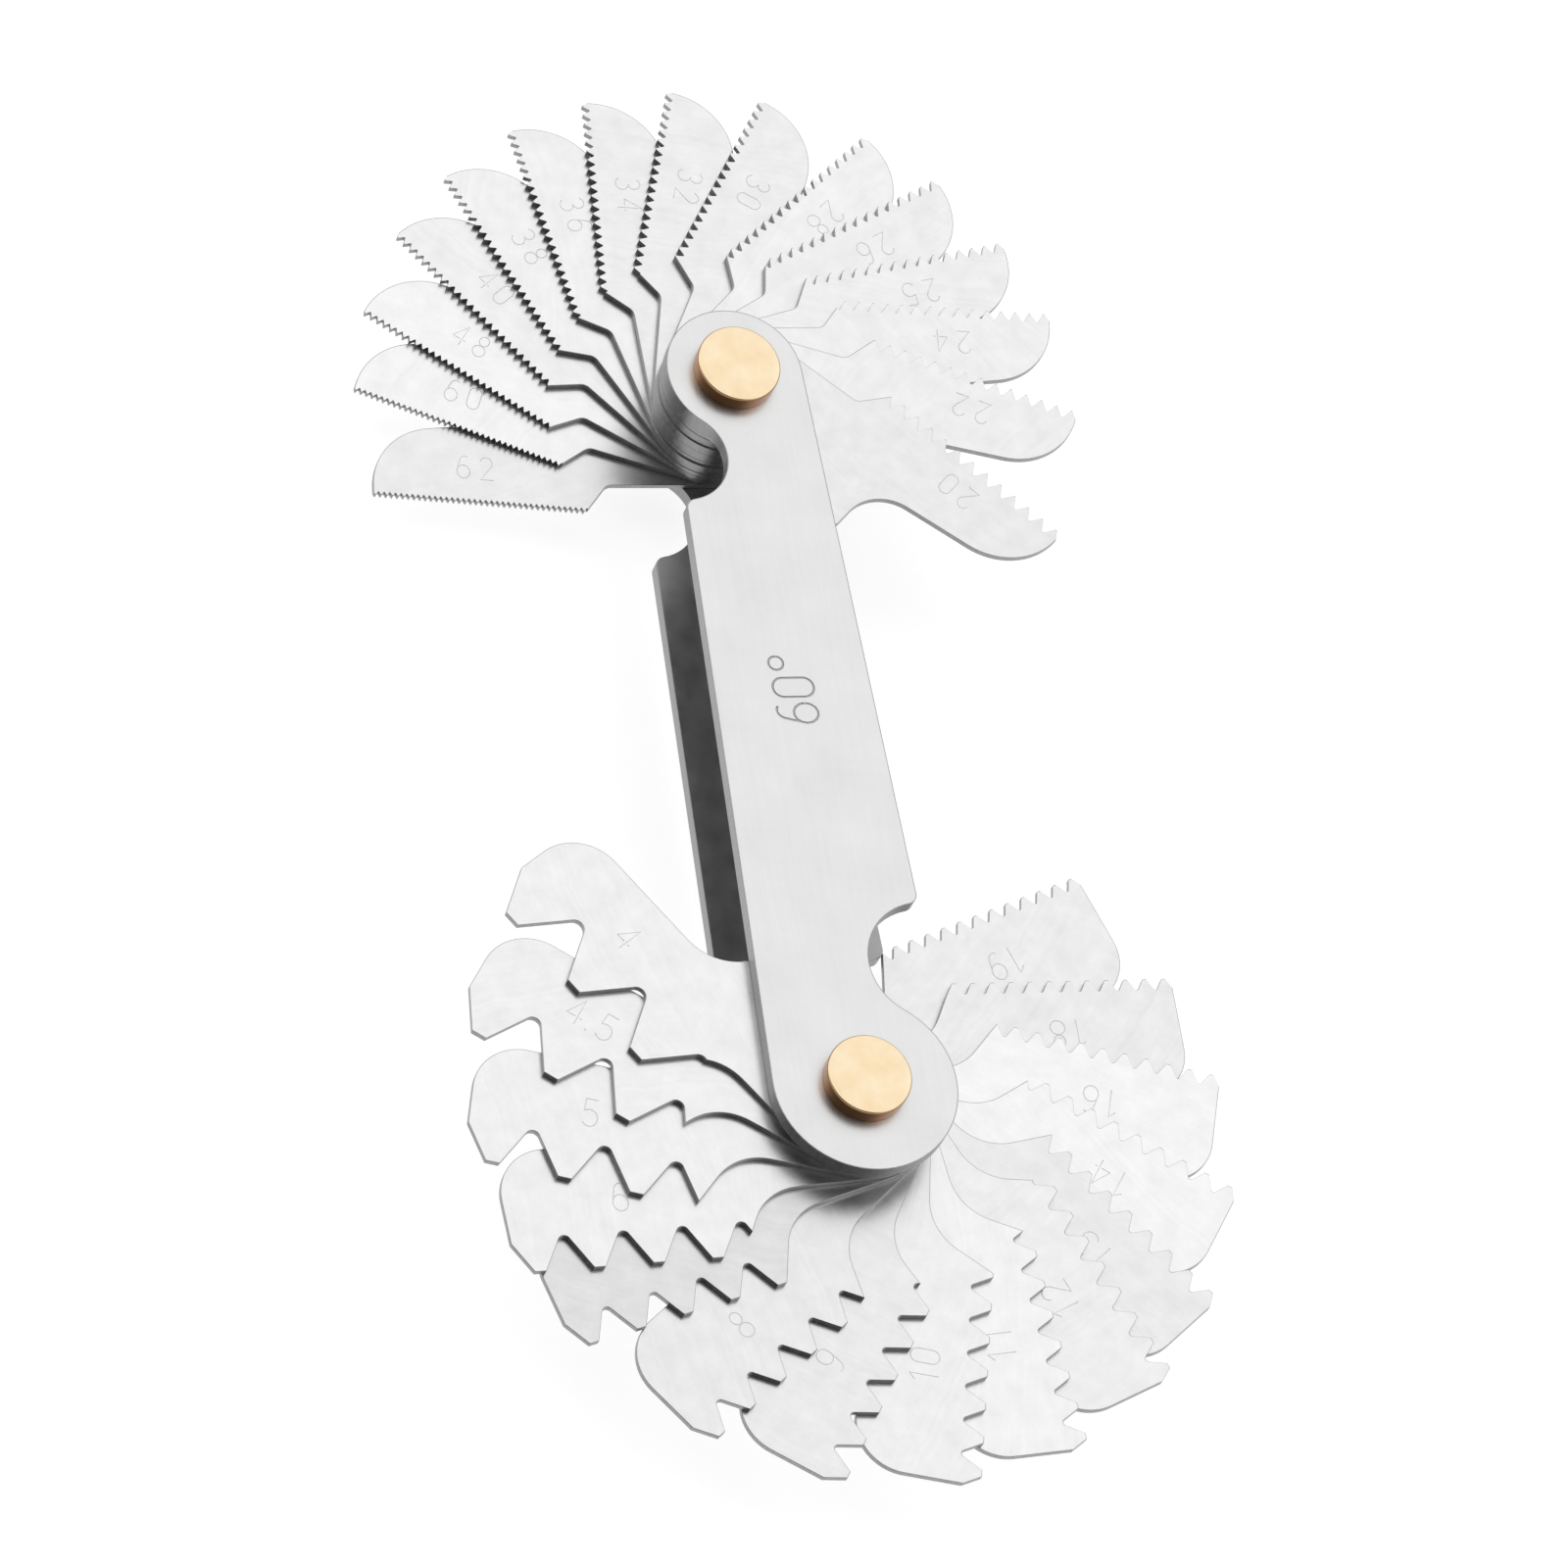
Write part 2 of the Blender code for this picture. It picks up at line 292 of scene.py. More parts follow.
def dress(tree, shader, tone, roughness):
    """Gives the metal a grey tone and a roughness."""
    colour = add(tree, "ShaderNodeCombineColor", {"Red": tone, "Green": tone, "Blue": tone})
    tree.links.new(colour.outputs["Color"], shader.inputs["Base Color"])
    tree.links.new(roughness, shader.inputs["Roughness"])


def raise_marks(tree, shader, height, strength, distance):
    """Lets a pattern stand up by a small distance, by shading alone."""
    bump = add(tree, "ShaderNodeBump", {"Strength": strength, "Distance": distance,
               "Height": height})
    tree.links.new(bump.outputs["Normal"], shader.inputs["Normal"])


def report(material):
    print(material.name, "has", len(material.node_tree.nodes), "nodes")


# %% [markdown]
# ## Satin ground steel for the leaves
# The leaves are stamped from bright sheet and ground flat on a turning wheel, which
# leaves faint wide arcs across each one, over a soft mottle. The pattern has to follow
# the leaf, so each leaf carries a UV map in millimetres, turned by its own angle, and a
# tone of its own, because no two leaves of a set are quite alike. One material then
# serves all thirty leaves.

# %% Make the leaf steel
LEAF_TONE = (0.565, 0.69)    # the greyest and the brightest leaf
LEAF_ROUGHNESS = (0.24, 0.36)
MOTTLE_CHANGE = 0.10
ARC_CHANGE = 0.035
ARC_WANDER = 0.5             # how far the arcs stray from true circles, in mm
WHEEL_CENTRE = (46.0, -30.0, 0.0)

leaf_steel, tree, shader = metal("satin ground steel")
blade = add(tree, "ShaderNodeUVMap", uv_map="blade").outputs["UV"]
own_tone = add(tree, "ShaderNodeAttribute", attribute_name="tone").outputs["Fac"]
mottle = noise(tree, blade, 0.55, 4.0, 0.6)
from_wheel = add(tree, "ShaderNodeVectorMath", {0: blade, 1: WHEEL_CENTRE},
                 operation="DISTANCE").outputs["Value"]
arc_place = change(tree, from_wheel, noise(tree, blade, 0.35), ARC_WANDER)
arcs = noise_along(tree, arc_place, 2.2, 5.0, 0.7)
leaf_tone = change(tree, spread(tree, own_tone, *LEAF_TONE), mottle, MOTTLE_CHANGE)
leaf_tone = change(tree, leaf_tone, arcs, ARC_CHANGE)
dress(tree, shader, leaf_tone, spread(tree, mottle, *LEAF_ROUGHNESS))
raise_marks(tree, shader, arcs, 0.25, 0.012 * MM)
report(leaf_steel)

# %% [markdown]
# ## Brushed steel for the covers
# The covers were drawn along an abrasive belt, so their marks run the length of the
# handle. Noise that is stretched along Y makes such lines. They change the brightness a
# little, the roughness a little, and stand up a few thousandths of a millimetre. A
# second, finer set of short cross scratches breaks up the regular look.

# %% Make the cover steel
COVER_TONE = (0.56, 0.66)
COVER_ROUGHNESS = (0.27, 0.40)
CLOUD_CHANGE = 0.04
SCRATCH_CHANGE = 0.012

cover_steel, tree, shader = metal("lengthwise brushed steel")
place = on_object(tree)
brushed = noise(tree, stretched(tree, place, (3200, 130, 3200)), 1.0, 6.0, 0.65)
scratches = noise(tree, stretched(tree, place, (420, 2600, 2600), 0.5), 1.0, 4.0, 0.6)
clouds = noise(tree, place, 260.0, 3.0)
cover_tone = change(tree, spread(tree, brushed, *COVER_TONE), clouds, CLOUD_CHANGE)
cover_tone = change(tree, cover_tone, scratches, SCRATCH_CHANGE)
dress(tree, shader, cover_tone, spread(tree, brushed, *COVER_ROUGHNESS))
raise_marks(tree, shader, brushed, 0.4, 0.01 * MM)
report(cover_steel)

# %% [markdown]
# ## The covers' inner faces
# The sides that face the leaves were never ground and keep the duller, rougher skin of
# the rolled sheet. Their dark grey tone is painted shade for the deep gap between the covers.


# %% Make the inner face steel, darkened as painted shade
def speckled(name, grain, detail, tones, roughness):
    """A metal whose tone and roughness follow one even grain, given as a noise scale."""
    material, tree, shader = metal(name)
    specks = noise(tree, on_object(tree), grain, detail)
    dress(tree, shader, spread(tree, specks, *tones), spread(tree, specks, *roughness))
    report(material)
    return material


# The low tones of the inner face are painted shade for the gap between the covers.
inner_face_painted_shade = speckled("inner face, painted shade", 700.0, 5.0, (0.26, 0.38), (0.30, 0.46))

# %% [markdown]
# ## Sheared edges
# The sides of the covers and leaves were cut by a punch and the teeth by a mill. Such a
# face is rougher than the ground flats, with fine streaks through the sheet. Its darker tone
# is painted shade, and it also covers the narrow broken edge, so every piece has a thin grey
# outline of painted shade.

# %% Make the edge steel, darkened as painted shade
# The edge's dark tone is painted shade, which outlines every piece.
EDGE_PAINTED_SHADE_TONE = (0.22, 0.40)
EDGE_ROUGHNESS = (0.26, 0.44)

edge_steel_painted_shade, tree, shader = metal("sheared edge, painted shade")
streaks = noise(tree, stretched(tree, on_object(tree), (5200, 5200, 900)), 1.0, 4.0)
dress(tree, shader, spread(tree, streaks, *EDGE_PAINTED_SHADE_TONE), spread(tree, streaks, *EDGE_ROUGHNESS))
report(edge_steel_painted_shade)

# %% [markdown]
# ## Polished brass for the rivets
# The heads were faced on a lathe and then polished. Very faint rings remain about each
# rivet's axis, with a few fine scratches across them. The rings are noise read along the
# distance from the axis, and the Mapping node centres them on the rivet. The head's side
# is painted dark brown from just inside the rim, as painted shade for the dark surroundings it
# reflects.


# %% Make the rivet brass
BRASS_DEEP = (0.66, 0.50, 0.30, 1)
BRASS_PALE = (0.74, 0.63, 0.46, 1)
# Painted shade: the dark brown of the head's side stands for the dark surroundings it reflects.
BRASS_SIDE_PAINTED_SHADE = (0.40, 0.20, 0.085, 1)
BRASS_ROUGHNESS = (0.12, 0.26)
HEAD_RADIUS = 3.02           # in mm
RIM_SHADE_BLEND = (0.10, 0.01)     # how far inside the rim the brown begins and is full, in mm
MIX_A, MIX_B, MIX_RESULT = 6, 7, 2   # the Mix node's colour sockets


def mix(tree, factor, first, second):
    """The first colour at a factor of 0, the second at 1."""
    return add(tree, "ShaderNodeMix", {"Factor": factor, MIX_A: first, MIX_B: second},
               data_type="RGBA").outputs[MIX_RESULT]


def rivet_brass(name, pivot):
    """Polished brass whose rings are centred on this rivet."""
    material, tree, shader = metal(name)
    centred = add(tree, "ShaderNodeMapping", {"Vector": on_object(tree),
                  "Location": (-pivot.x, -pivot.y, 0.0)}).outputs[0]
    flat = add(tree, "ShaderNodeVectorMath", {0: centred, 1: (1000.0, 1000.0, 0.0)},
               operation="MULTIPLY").outputs[0]
    radius = add(tree, "ShaderNodeVectorMath", {0: flat}, operation="LENGTH").outputs["Value"]
    rings = noise_along(tree, radius, 5.0, 4.0, 0.6)
    hairlines = noise(tree, stretched(tree, flat, (0.25, 9.0, 1.0), 0.6), 1.0, 3.0)
    # Broad blotches between deep and pale brass: partly tarnish, partly painted reflection across
    # the face.
    tarnish_and_sheen = spread(tree, noise(tree, flat, 0.5, 3.0), -0.3, 1.3)
    begins, full = (HEAD_RADIUS - inside for inside in RIM_SHADE_BLEND)
    # This mask lays the painted shade on the head's side, from just inside the rim.
    side = add(tree, "ShaderNodeMapRange", {"Value": radius, "From Min": begins,
               "From Max": full}).outputs["Result"]
    face = mix(tree, tarnish_and_sheen, BRASS_DEEP, BRASS_PALE)
    tree.links.new(mix(tree, side, face, BRASS_SIDE_PAINTED_SHADE), shader.inputs["Base Color"])
    tree.links.new(spread(tree, hairlines, *BRASS_ROUGHNESS), shader.inputs["Roughness"])
    height = total(tree, rings, spread(tree, hairlines, 0.0, 0.6))
    raise_marks(tree, shader, height, 0.3, 0.008 * MM)
    report(material)
    return material


BRASS = {end: rivet_brass(f"polished brass, {end} end", pivot) for end, pivot in PIVOTS.items()}

# %% [markdown]
# ## Darkened steel in the engraving
# The bottom of an engraved line is rougher than the sheet around it and is painted a darker
# grey, partly for the dirt it holds and partly as painted shade in the groove. The numbers on
# the leaves are shallow and were ground over afterwards, so their grey is paler and in places
# nearly gone.

# %% Make the engraved surfaces
# The grain of the dirt and painted shade in a line.
DIRT_AND_SHADE_GRAIN = 900.0                # the scale of the dirt in a line
GRIME_ROUGHNESS = (0.45, 0.62)
# The grey of a line is partly dirt and partly painted shade in the groove.
deep_mark_dirt_and_shade = speckled("deep engraved line, dirt and painted shade", DIRT_AND_SHADE_GRAIN, 4.0, (0.34, 0.52), GRIME_ROUGHNESS)
faint_mark_dirt_and_shade = speckled("faint engraved line, dirt and painted shade", DIRT_AND_SHADE_GRAIN, 4.0, (0.56, 0.84), GRIME_ROUGHNESS)

# %% [markdown]
# ## Outlines from corners and arcs
# Every flat piece here is a rounded outline. Two helpers draw them: one gives the points
# of an arc, and the other turns a list of corners, each with its radius, into a closed
# outline. The arcs have many short steps, so that the edges look smooth close up. A hole
# runs clockwise, opposite to the outline around it.

# %% Write the outline helpers
ARC_STEP = math.radians(5)


def arc(centre, radius, start, end):
    """Points along an arc, both ends included. It runs clockwise when end < start."""
    count = max(1, round(abs(end - start) / ARC_STEP))
    angles = [start + (end - start) * step / count for step in range(count + 1)]
    return [(centre[0] + radius * math.cos(a), centre[1] + radius * math.sin(a)) for a in angles]


def rounded(corners):
    """A closed outline from corners (x, y, radius), with an arc at each that has a radius."""
    points = []
    for index, (x, y, radius) in enumerate(corners):
        before = corners[index - 1]
        after = corners[(index + 1) % len(corners)]
        if radius == 0:
            points.append((x, y))
            continue
        heading_in = math.atan2(y - before[1], x - before[0])
        heading_out = math.atan2(after[1] - y, after[0] - x)
        turn = (heading_out - heading_in + math.pi) % (2 * math.pi) - math.pi
        side = math.copysign(1.0, turn)
        setback = radius * math.tan(abs(turn) / 2)
        centre = (
            x - setback * math.cos(heading_in) - side * radius * math.sin(heading_in),
            y - setback * math.sin(heading_in) + side * radius * math.cos(heading_in),
        )
        start = heading_in - side * math.pi / 2
        points += arc(centre, radius, start, start + turn)
    return points


def hole(centre, radius):
    return arc(centre, radius, 0.0, -2 * math.pi)[:-1]


# %% [markdown]
# ## From an outline to a solid plate
# A 2D curve fills itself between an outline and its holes, and its extrude gives it
# thickness. The result is made a mesh and its caps are welded on. The triangles of the
# flat faces are then dissolved, so that the Bevel modifier sees only the real edges when
# it breaks them. A punch rolls the edge of a sheet over further than it pushes it down,
# so the plate is bevelled at several times its thickness and then flattened again. The
# flat faces have seams that run to their holes, and the bevel is told not to slide along
# them, which keeps its width even.

# %% Write the plate helper
WELD = 0.5 * MM / 1000       # points this close are one
FLAT_SEAM = math.radians(1)  # flat faces that differ by less are joined
BROKEN_EDGE = math.radians(50)         # edges that turn by more than this are broken
BREAK_STEPS = 3
ROLL_OVER = 3.0              # how many times wider than deep a broken edge is


def to_mesh(item):
    """The finished mesh of an object with its modifiers; the object itself is removed."""
    graph = bpy.context.evaluated_depsgraph_get()
    mesh = bpy.data.meshes.new_from_object(item.evaluated_get(graph))
    bpy.data.objects.remove(item, do_unlink=True)
    return mesh


def link(name, data):
    """Puts a new object with this data into the scene."""
    item = bpy.data.objects.new(name, data)
    bpy.context.scene.collection.objects.link(item)
    return item


def welded(mesh):
    """An editable copy of a mesh in which points that lie together are one."""
    shape = bmesh.new()
    shape.from_mesh(mesh)
    bmesh.ops.remove_doubles(shape, verts=shape.verts, dist=WELD)
    return shape


def keep_shape(shape, mesh):
    """Writes an edited shape into a mesh and frees it."""
    shape.to_mesh(mesh)
    shape.free()


def plate(name, outlines, bottom, top, edge_break):
    """A flat mesh between two heights. The first outline is its edge, the others are holes."""
    curve = bpy.data.curves.new(name, "CURVE")
    curve.dimensions = "2D"
    curve.fill_mode = "BOTH"
    curve.extrude = (top - bottom) / 2 * ROLL_OVER
    for outline in outlines:
        spline = curve.splines.new("POLY")
        spline.points.add(len(outline) - 1)
        for point, (x, y) in zip(spline.points, outline):
            point.co = (x, y, 0.0, 1.0)
        spline.use_cyclic_u = True
    mesh = to_mesh(link(name, curve))
    shape = welded(mesh)
    bmesh.ops.dissolve_limit(shape, angle_limit=FLAT_SEAM, verts=shape.verts, edges=shape.edges)
    keep_shape(shape, mesh)
    item = link(name, mesh)
    bevel = item.modifiers.new("broken edge", "BEVEL")
    bevel.width = edge_break
    bevel.segments = BREAK_STEPS
    bevel.limit_method = "ANGLE"
    bevel.angle_limit = BROKEN_EDGE
    bevel.use_clamp_overlap = False
    bevel.loop_slide = False
    mesh = to_mesh(item)
    flatten = Matrix.Diagonal((1.0, 1.0, 1 / ROLL_OVER, 1.0))
    mesh.transform(Matrix.Translation((0, 0, (top + bottom) / 2)) @ flatten)
    return mesh


# %% [markdown]
# ## Single-line numbers
# An engraving machine drags a round-nosed cutter along the strokes of each figure, so
# the strokes are centre lines and not filled outlines. Every figure is drawn here in a
# box one unit high, from straight runs and parts of ellipses.

# %% Draw the figures
BOW_STEPS = 14


def bow(x, y, across, high, start, end):
    """Part of an ellipse about (x, y), from one angle in degrees to another."""
    turns = [math.radians(start + (end - start) * step / BOW_STEPS)
             for step in range(BOW_STEPS + 1)]
    return [(x + across * math.cos(t), y + high * math.sin(t)) for t in turns]


FIGURES = {
    "0": [bow(0.25, 0.75, 0.25, 0.25, 0, 180) + bow(0.25, 0.25, 0.25, 0.25, 180, 360)
          + [(0.5, 0.75)]],
    "1": [[(0.08, 0.80), (0.30, 1.0), (0.30, 0.0)]],
    "2": [bow(0.26, 0.74, 0.24, 0.26, 165, -35) + [(0.0, 0.0), (0.52, 0.0)]],
    "3": [bow(0.24, 0.76, 0.24, 0.24, 150, -80), bow(0.24, 0.27, 0.27, 0.27, 85, -150)],
    "4": [[(0.40, 0.0), (0.40, 1.0), (0.0, 0.30), (0.32, 0.30)], [(0.48, 0.30), (0.56, 0.30)]],
    "5": [[(0.48, 1.0), (0.08, 1.0), (0.04, 0.57)] + bow(0.24, 0.31, 0.27, 0.31, 122, -145)],
    "6": [bow(0.26, 0.30, 0.26, 0.30, 0, 357), [(0.04, 0.46), (0.10, 0.70)]
          + bow(0.34, 0.72, 0.22, 0.28, 170, 60)],
    "7": [[(0.0, 1.0), (0.50, 1.0), (0.16, 0.0)]],
    "8": [bow(0.26, 0.77, 0.20, 0.23, 0, 357), bow(0.26, 0.26, 0.26, 0.26, 0, 357)],
    "9": [bow(0.26, 0.70, 0.26, 0.30, 180, 537), [(0.48, 0.54), (0.42, 0.30)]
          + bow(0.18, 0.28, 0.22, 0.28, -10, -120)],
    ".": [[(0.10, 0.0), (0.10, 0.06)]],
    "°": [bow(0.20, 0.82, 0.18, 0.18, 0, 357)],
}
print(len(FIGURES), "figures drawn")

# %% [markdown]
# ## Engraved strokes
# A number is a row of figures, centred on its place. Each of its strokes becomes a thin
# round bar, the path of the engraver's cutter, whose axis runs just above the surface.

# %% Write the engraving helpers
POINT_STEP = 0.42            # what a decimal point takes, in figure heights
FIGURE_WIDTH = 0.5           # about how wide a figure is, in figure heights
CUTTER_LIFT = 0.12           # how high the cutter's axis runs, in widths of the line


def engraving_lines(text, figure_step):
    """The strokes of a text one unit high, centred on the origin."""
    strokes = []
    x = 0.0
    for letter in text:
        strokes += [[(px + x, py - 0.5) for px, py in stroke] for stroke in FIGURES[letter]]
        x += POINT_STEP if letter == "." else figure_step
    middle = (x - figure_step + FIGURE_WIDTH) / 2
    return [[(px - middle, py) for px, py in stroke] for stroke in strokes]


def engraving_cutter(text, step, height, centre, heading, surface, width):
    """The tool's path as round bars along each stroke, sunk almost half into the surface.

    step is how far apart the figures are, in figure heights.
    """
    curve = bpy.data.curves.new("strokes of " + text, "CURVE")
    curve.dimensions = "3D"
    curve.bevel_depth = width / 2
    curve.bevel_resolution = 1
    curve.use_fill_caps = True
    cos, sin = math.cos(heading), math.sin(heading)
    for stroke in engraving_lines(text, step):
        spline = curve.splines.new("POLY")
        spline.points.add(len(stroke) - 1)
        for point, (x, y) in zip(spline.points, stroke):
            x, y = x * height, y * height
            point.co = (centre[0] + x * cos - y * sin, centre[1] + x * sin + y * cos,
                        surface + width * CUTTER_LIFT, 1.0)
    mesh = to_mesh(link("strokes", curve))
    keep_shape(welded(mesh), mesh)
    return link("strokes", mesh)


# %% [markdown]
# ## Cutting teeth and marks with Geometry Nodes
# A leaf's teeth follow one rule: a vee-shaped valley at every pitch, from the tip to
# where the blade narrows. A real leaf is a plain blank that is milled with such a
# cutter, and the tree does the same. It lays out a row of points, puts the cutter on
# each of them at the size of the pitch, and takes them and the engraved strokes away
# from the blank. The cut faces of the strokes keep their own material, and every other
# face that doesn't lie flat is given the edge steel, whose dark tone is painted shade.


# %% Build the cutting tree
FLAT_FACE = 0.999            # how far up or down the normal of a flat face points


def cutting_tree():
    tree = bpy.data.node_groups.new("cut teeth and marks", "GeometryNodeTree")
    sockets = (("Blank", "Geometry"), ("Cutter", "Object"), ("Marks", "Object"),
               ("Pitch", "Float"), ("Valleys", "Int"), ("First valley", "Float"),
               ("Crest line", "Float"), ("Steel", "Material"), ("Edge steel, painted shade", "Material"),
               ("Mark shade", "Material"))
    for name, kind in sockets:
        tree.interface.new_socket(name, in_out="INPUT", socket_type="NodeSocket" + kind)
    tree.interface.new_socket("Geometry", in_out="OUTPUT", socket_type="NodeSocketGeometry")
    given = add(tree, "NodeGroupInput").outputs
    start = add(tree, "ShaderNodeCombineXYZ", {"X": given["First valley"],
                "Y": given["Crest line"]})
    back = add(tree, "ShaderNodeMath", {0: given["Pitch"], 1: -1.0}, operation="MULTIPLY")
    step = add(tree, "ShaderNodeCombineXYZ", {"X": back.outputs[0]})
    row = add(tree, "GeometryNodeMeshLine", {"Count": given["Valleys"],
              "Start Location": start.outputs[0], "Offset": step.outputs[0]})
    cutter = add(tree, "GeometryNodeObjectInfo", {"Object": given["Cutter"]})
    size = add(tree, "ShaderNodeCombineXYZ", {"X": given["Pitch"], "Y": given["Pitch"],
               "Z": 1.0})
    placed = add(tree, "GeometryNodeInstanceOnPoints", {"Points": row.outputs["Mesh"],
                 "Instance": cutter.outputs["Geometry"], "Scale": size.outputs[0]})
    valleys = add(tree, "GeometryNodeRealizeInstances", {0: placed.outputs[0]})
    strokes = add(tree, "GeometryNodeObjectInfo", {"Object": given["Marks"]})
    shaded = add(tree, "GeometryNodeSetMaterial", {"Geometry": strokes.outputs["Geometry"],
                 "Material": given["Mark shade"]})
    plain = add(tree, "GeometryNodeSetMaterial", {"Geometry": given["Blank"],
                "Material": given["Steel"]})
    cut_face = add(tree, "GeometryNodeSetMaterial", {"Geometry": valleys.outputs[0],
                   "Material": given["Edge steel, painted shade"]})
    toothed = add(tree, "GeometryNodeMeshBoolean", {"Mesh 1": plain.outputs[0],
                  "Mesh 2": cut_face.outputs[0]}, operation="DIFFERENCE", solver="EXACT")
    marked = add(tree, "GeometryNodeMeshBoolean", {"Mesh 1": toothed.outputs["Mesh"],
                 "Mesh 2": shaded.outputs[0], "Self Intersection": True},
                 operation="DIFFERENCE", solver="EXACT")
    single = add(tree, "GeometryNodeRealizeInstances", {0: marked.outputs["Mesh"]})
    stroke_face = add(tree, "GeometryNodeMaterialSelection", {"Material": given["Mark shade"]})
    # Faces that don't lie flat get the edge steel, whose dark tone is painted shade.
    facing = add(tree, "GeometryNodeInputNormal")
    height = add(tree, "ShaderNodeSeparateXYZ", {0: facing.outputs["Normal"]})
    level = add(tree, "ShaderNodeMath", {0: height.outputs["Z"]}, operation="ABSOLUTE")
    upright = add(tree, "FunctionNodeCompare", {0: level.outputs[0], 1: FLAT_FACE},
                  operation="LESS_THAN")
    edge = add(tree, "FunctionNodeBooleanMath", {0: upright.outputs[0],
               1: stroke_face.outputs[0]}, operation="NIMPLY")
    ended = add(tree, "GeometryNodeSetMaterial", {"Geometry": single.outputs[0],
                "Selection": edge.outputs[0], "Material": given["Edge steel, painted shade"]})
    add(tree, "NodeGroupOutput", {0: ended.outputs[0]})
    return tree


def run_tree(tree, blank, values):
    """Runs a Geometry Nodes tree on a blank mesh with these inputs and returns the mesh."""
    host = link("blank", blank)
    modifier = host.modifiers.new("cut", "NODES")
    modifier.node_group = tree
    for socket in tree.interface.items_tree:
        if socket.name in values:
            modifier[socket.identifier] = values[socket.name]
    return to_mesh(host)


CUTTING = cutting_tree()
print("the cutting tree has", len(CUTTING.nodes), "nodes")

# %% [markdown]
# ## The thread cutter
# A 60 degree vee with a rounded nose, drawn for a pitch of one unit. The leaf keeps a
# flat crest between two valleys, and the fine and coarse leaves have different crests.
# Above the crest line the cutter's sides stand upright, so that neighbours never touch.
# The cutter's outline is repeated in rings at six heights. The outer rings stand lower,
# so the vee widens at both faces of the leaf and breaks the edges of the teeth.

# %% Write the thread cutter
FLANK = math.radians(60)
FORMS = {"fine": {"crest": 0.125, "root": 0.10}, "coarse": {"crest": 0.19, "root": 0.11}}
CUT_MARGIN = 1.0 * MM          # how far the cutter stands out of the leaf on both sides
TOOTH_EDGE_DEPTH = 0.02 * MM   # how far into the leaf a broken edge goes
TOOTH_EDGE_RISE = 0.005 * MM   # how far out of the leaf the same slope runs on
TOOTH_EDGE_DROP = 0.08 * MM    # how much lower the outer rings stand
TOOTH_EDGE_LIMIT = 0.03        # and that drop at most, in pitches


def thread_cutter(name, crest, root, pitch):
    """The space of one valley, in units of pitch across and in metres through the leaf."""
    half = (1 - crest) / 2
    rise = crest / 4 * math.tan(FLANK)
    reach = half + crest / 4
    corners = [(0.0, -half * math.tan(FLANK), root), (reach, rise, 0), (reach, 1.0, 0),
               (-reach, 1.0, 0), (-reach, rise, 0)]
    outline = rounded(corners)
    drop = min(TOOTH_EDGE_DROP / pitch, TOOTH_EDGE_LIMIT)
    outer = [(LEAF_THICKNESS - TOOTH_EDGE_DEPTH, 0.0), (LEAF_THICKNESS + TOOTH_EDGE_RISE, drop),
             (LEAF_THICKNESS + CUT_MARGIN, drop)]
    levels = [(LEAF_THICKNESS - z, lower) for z, lower in reversed(outer)] + outer
    shape = bmesh.new()
    rings = [[shape.verts.new((x, y - lower, z)) for x, y in outline] for z, lower in levels]
    shape.faces.new(rings[0])
    shape.faces.new(rings[-1])
    for below, above in zip(rings, rings[1:]):
        for i in range(len(outline)):
            shape.faces.new((below[i - 1], below[i], above[i], above[i - 1]))
    bmesh.ops.recalc_face_normals(shape, faces=shape.faces)
    mesh = bpy.data.meshes.new(name)
    keep_shape(shape, mesh)
    return link(name, mesh)


leaf_low, leaf_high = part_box("leaf_62_tpi")
LEAF_THICKNESS = leaf_high.z - leaf_low.z
print("leaf thickness", round(LEAF_THICKNESS / MM, 3), "mm")

# %% [markdown]
# ## The leaf blanks
# A leaf points along its own +X from the rivet, with its teeth on the +Y side. Its
# outline has a round end about the rivet, a hump that a fingernail catches, a hollow
# behind it, a plain back with a round tip, and a sloping neck where the teeth run out.
# The number stands lower on a coarse leaf, by a part of the pitch, to clear its deep
# teeth. The step from one figure to the next is in figure heights.

# %% Describe both blanks
BLANKS = {
    "fine": {
        "root_radius": 4.85 * MM, "hump": (12.6 * MM, -4.3 * MM, 0.9 * MM),
        "dip": (12.6 * MM, 0.72 * MM, 3.3 * MM), "back": (24.65 * MM, 2.62 * MM, 5.1 * MM),
        "crest_line": 7.68 * MM, "neck_top": 9.16 * MM, "neck": (7.55 * MM, 5.4 * MM, 0.8 * MM),
        "mark": (17.2 * MM, 4.9 * MM), "mark_height": 1.8 * MM, "mark_drop": 0.0,
        "mark_step": 0.94,
    },
    "coarse": {
        "root_radius": 6.15 * MM, "hump": (11.5 * MM, -4.9 * MM, 0.9 * MM),
        "dip": (11.5 * MM, 1.95 * MM, 4.2 * MM), "back": (26.65 * MM, 2.05 * MM, 3.6 * MM),
        "crest_line": 11.08 * MM, "neck_top": 10.35 * MM, "neck": (7.9 * MM, 6.35 * MM, 4.0 * MM),
        "mark": (18.35 * MM, 7.4 * MM), "mark_height": 2.1 * MM, "mark_drop": 0.32,
        "mark_step": 0.72,
    },
}
RIVET_HOLE = 1.56 * MM
LEAF_EDGE_BREAK = 0.05 * MM
ROOT_SPREAD = 0.14 * MM      # how much smaller a leaf's round end may be ground
SETBACK = 0.3                # of the pitch, from the leaf's tip to the first crest
print("blanks reach", [round(blank["back"][0] / MM, 2) for blank in BLANKS.values()], "mm")


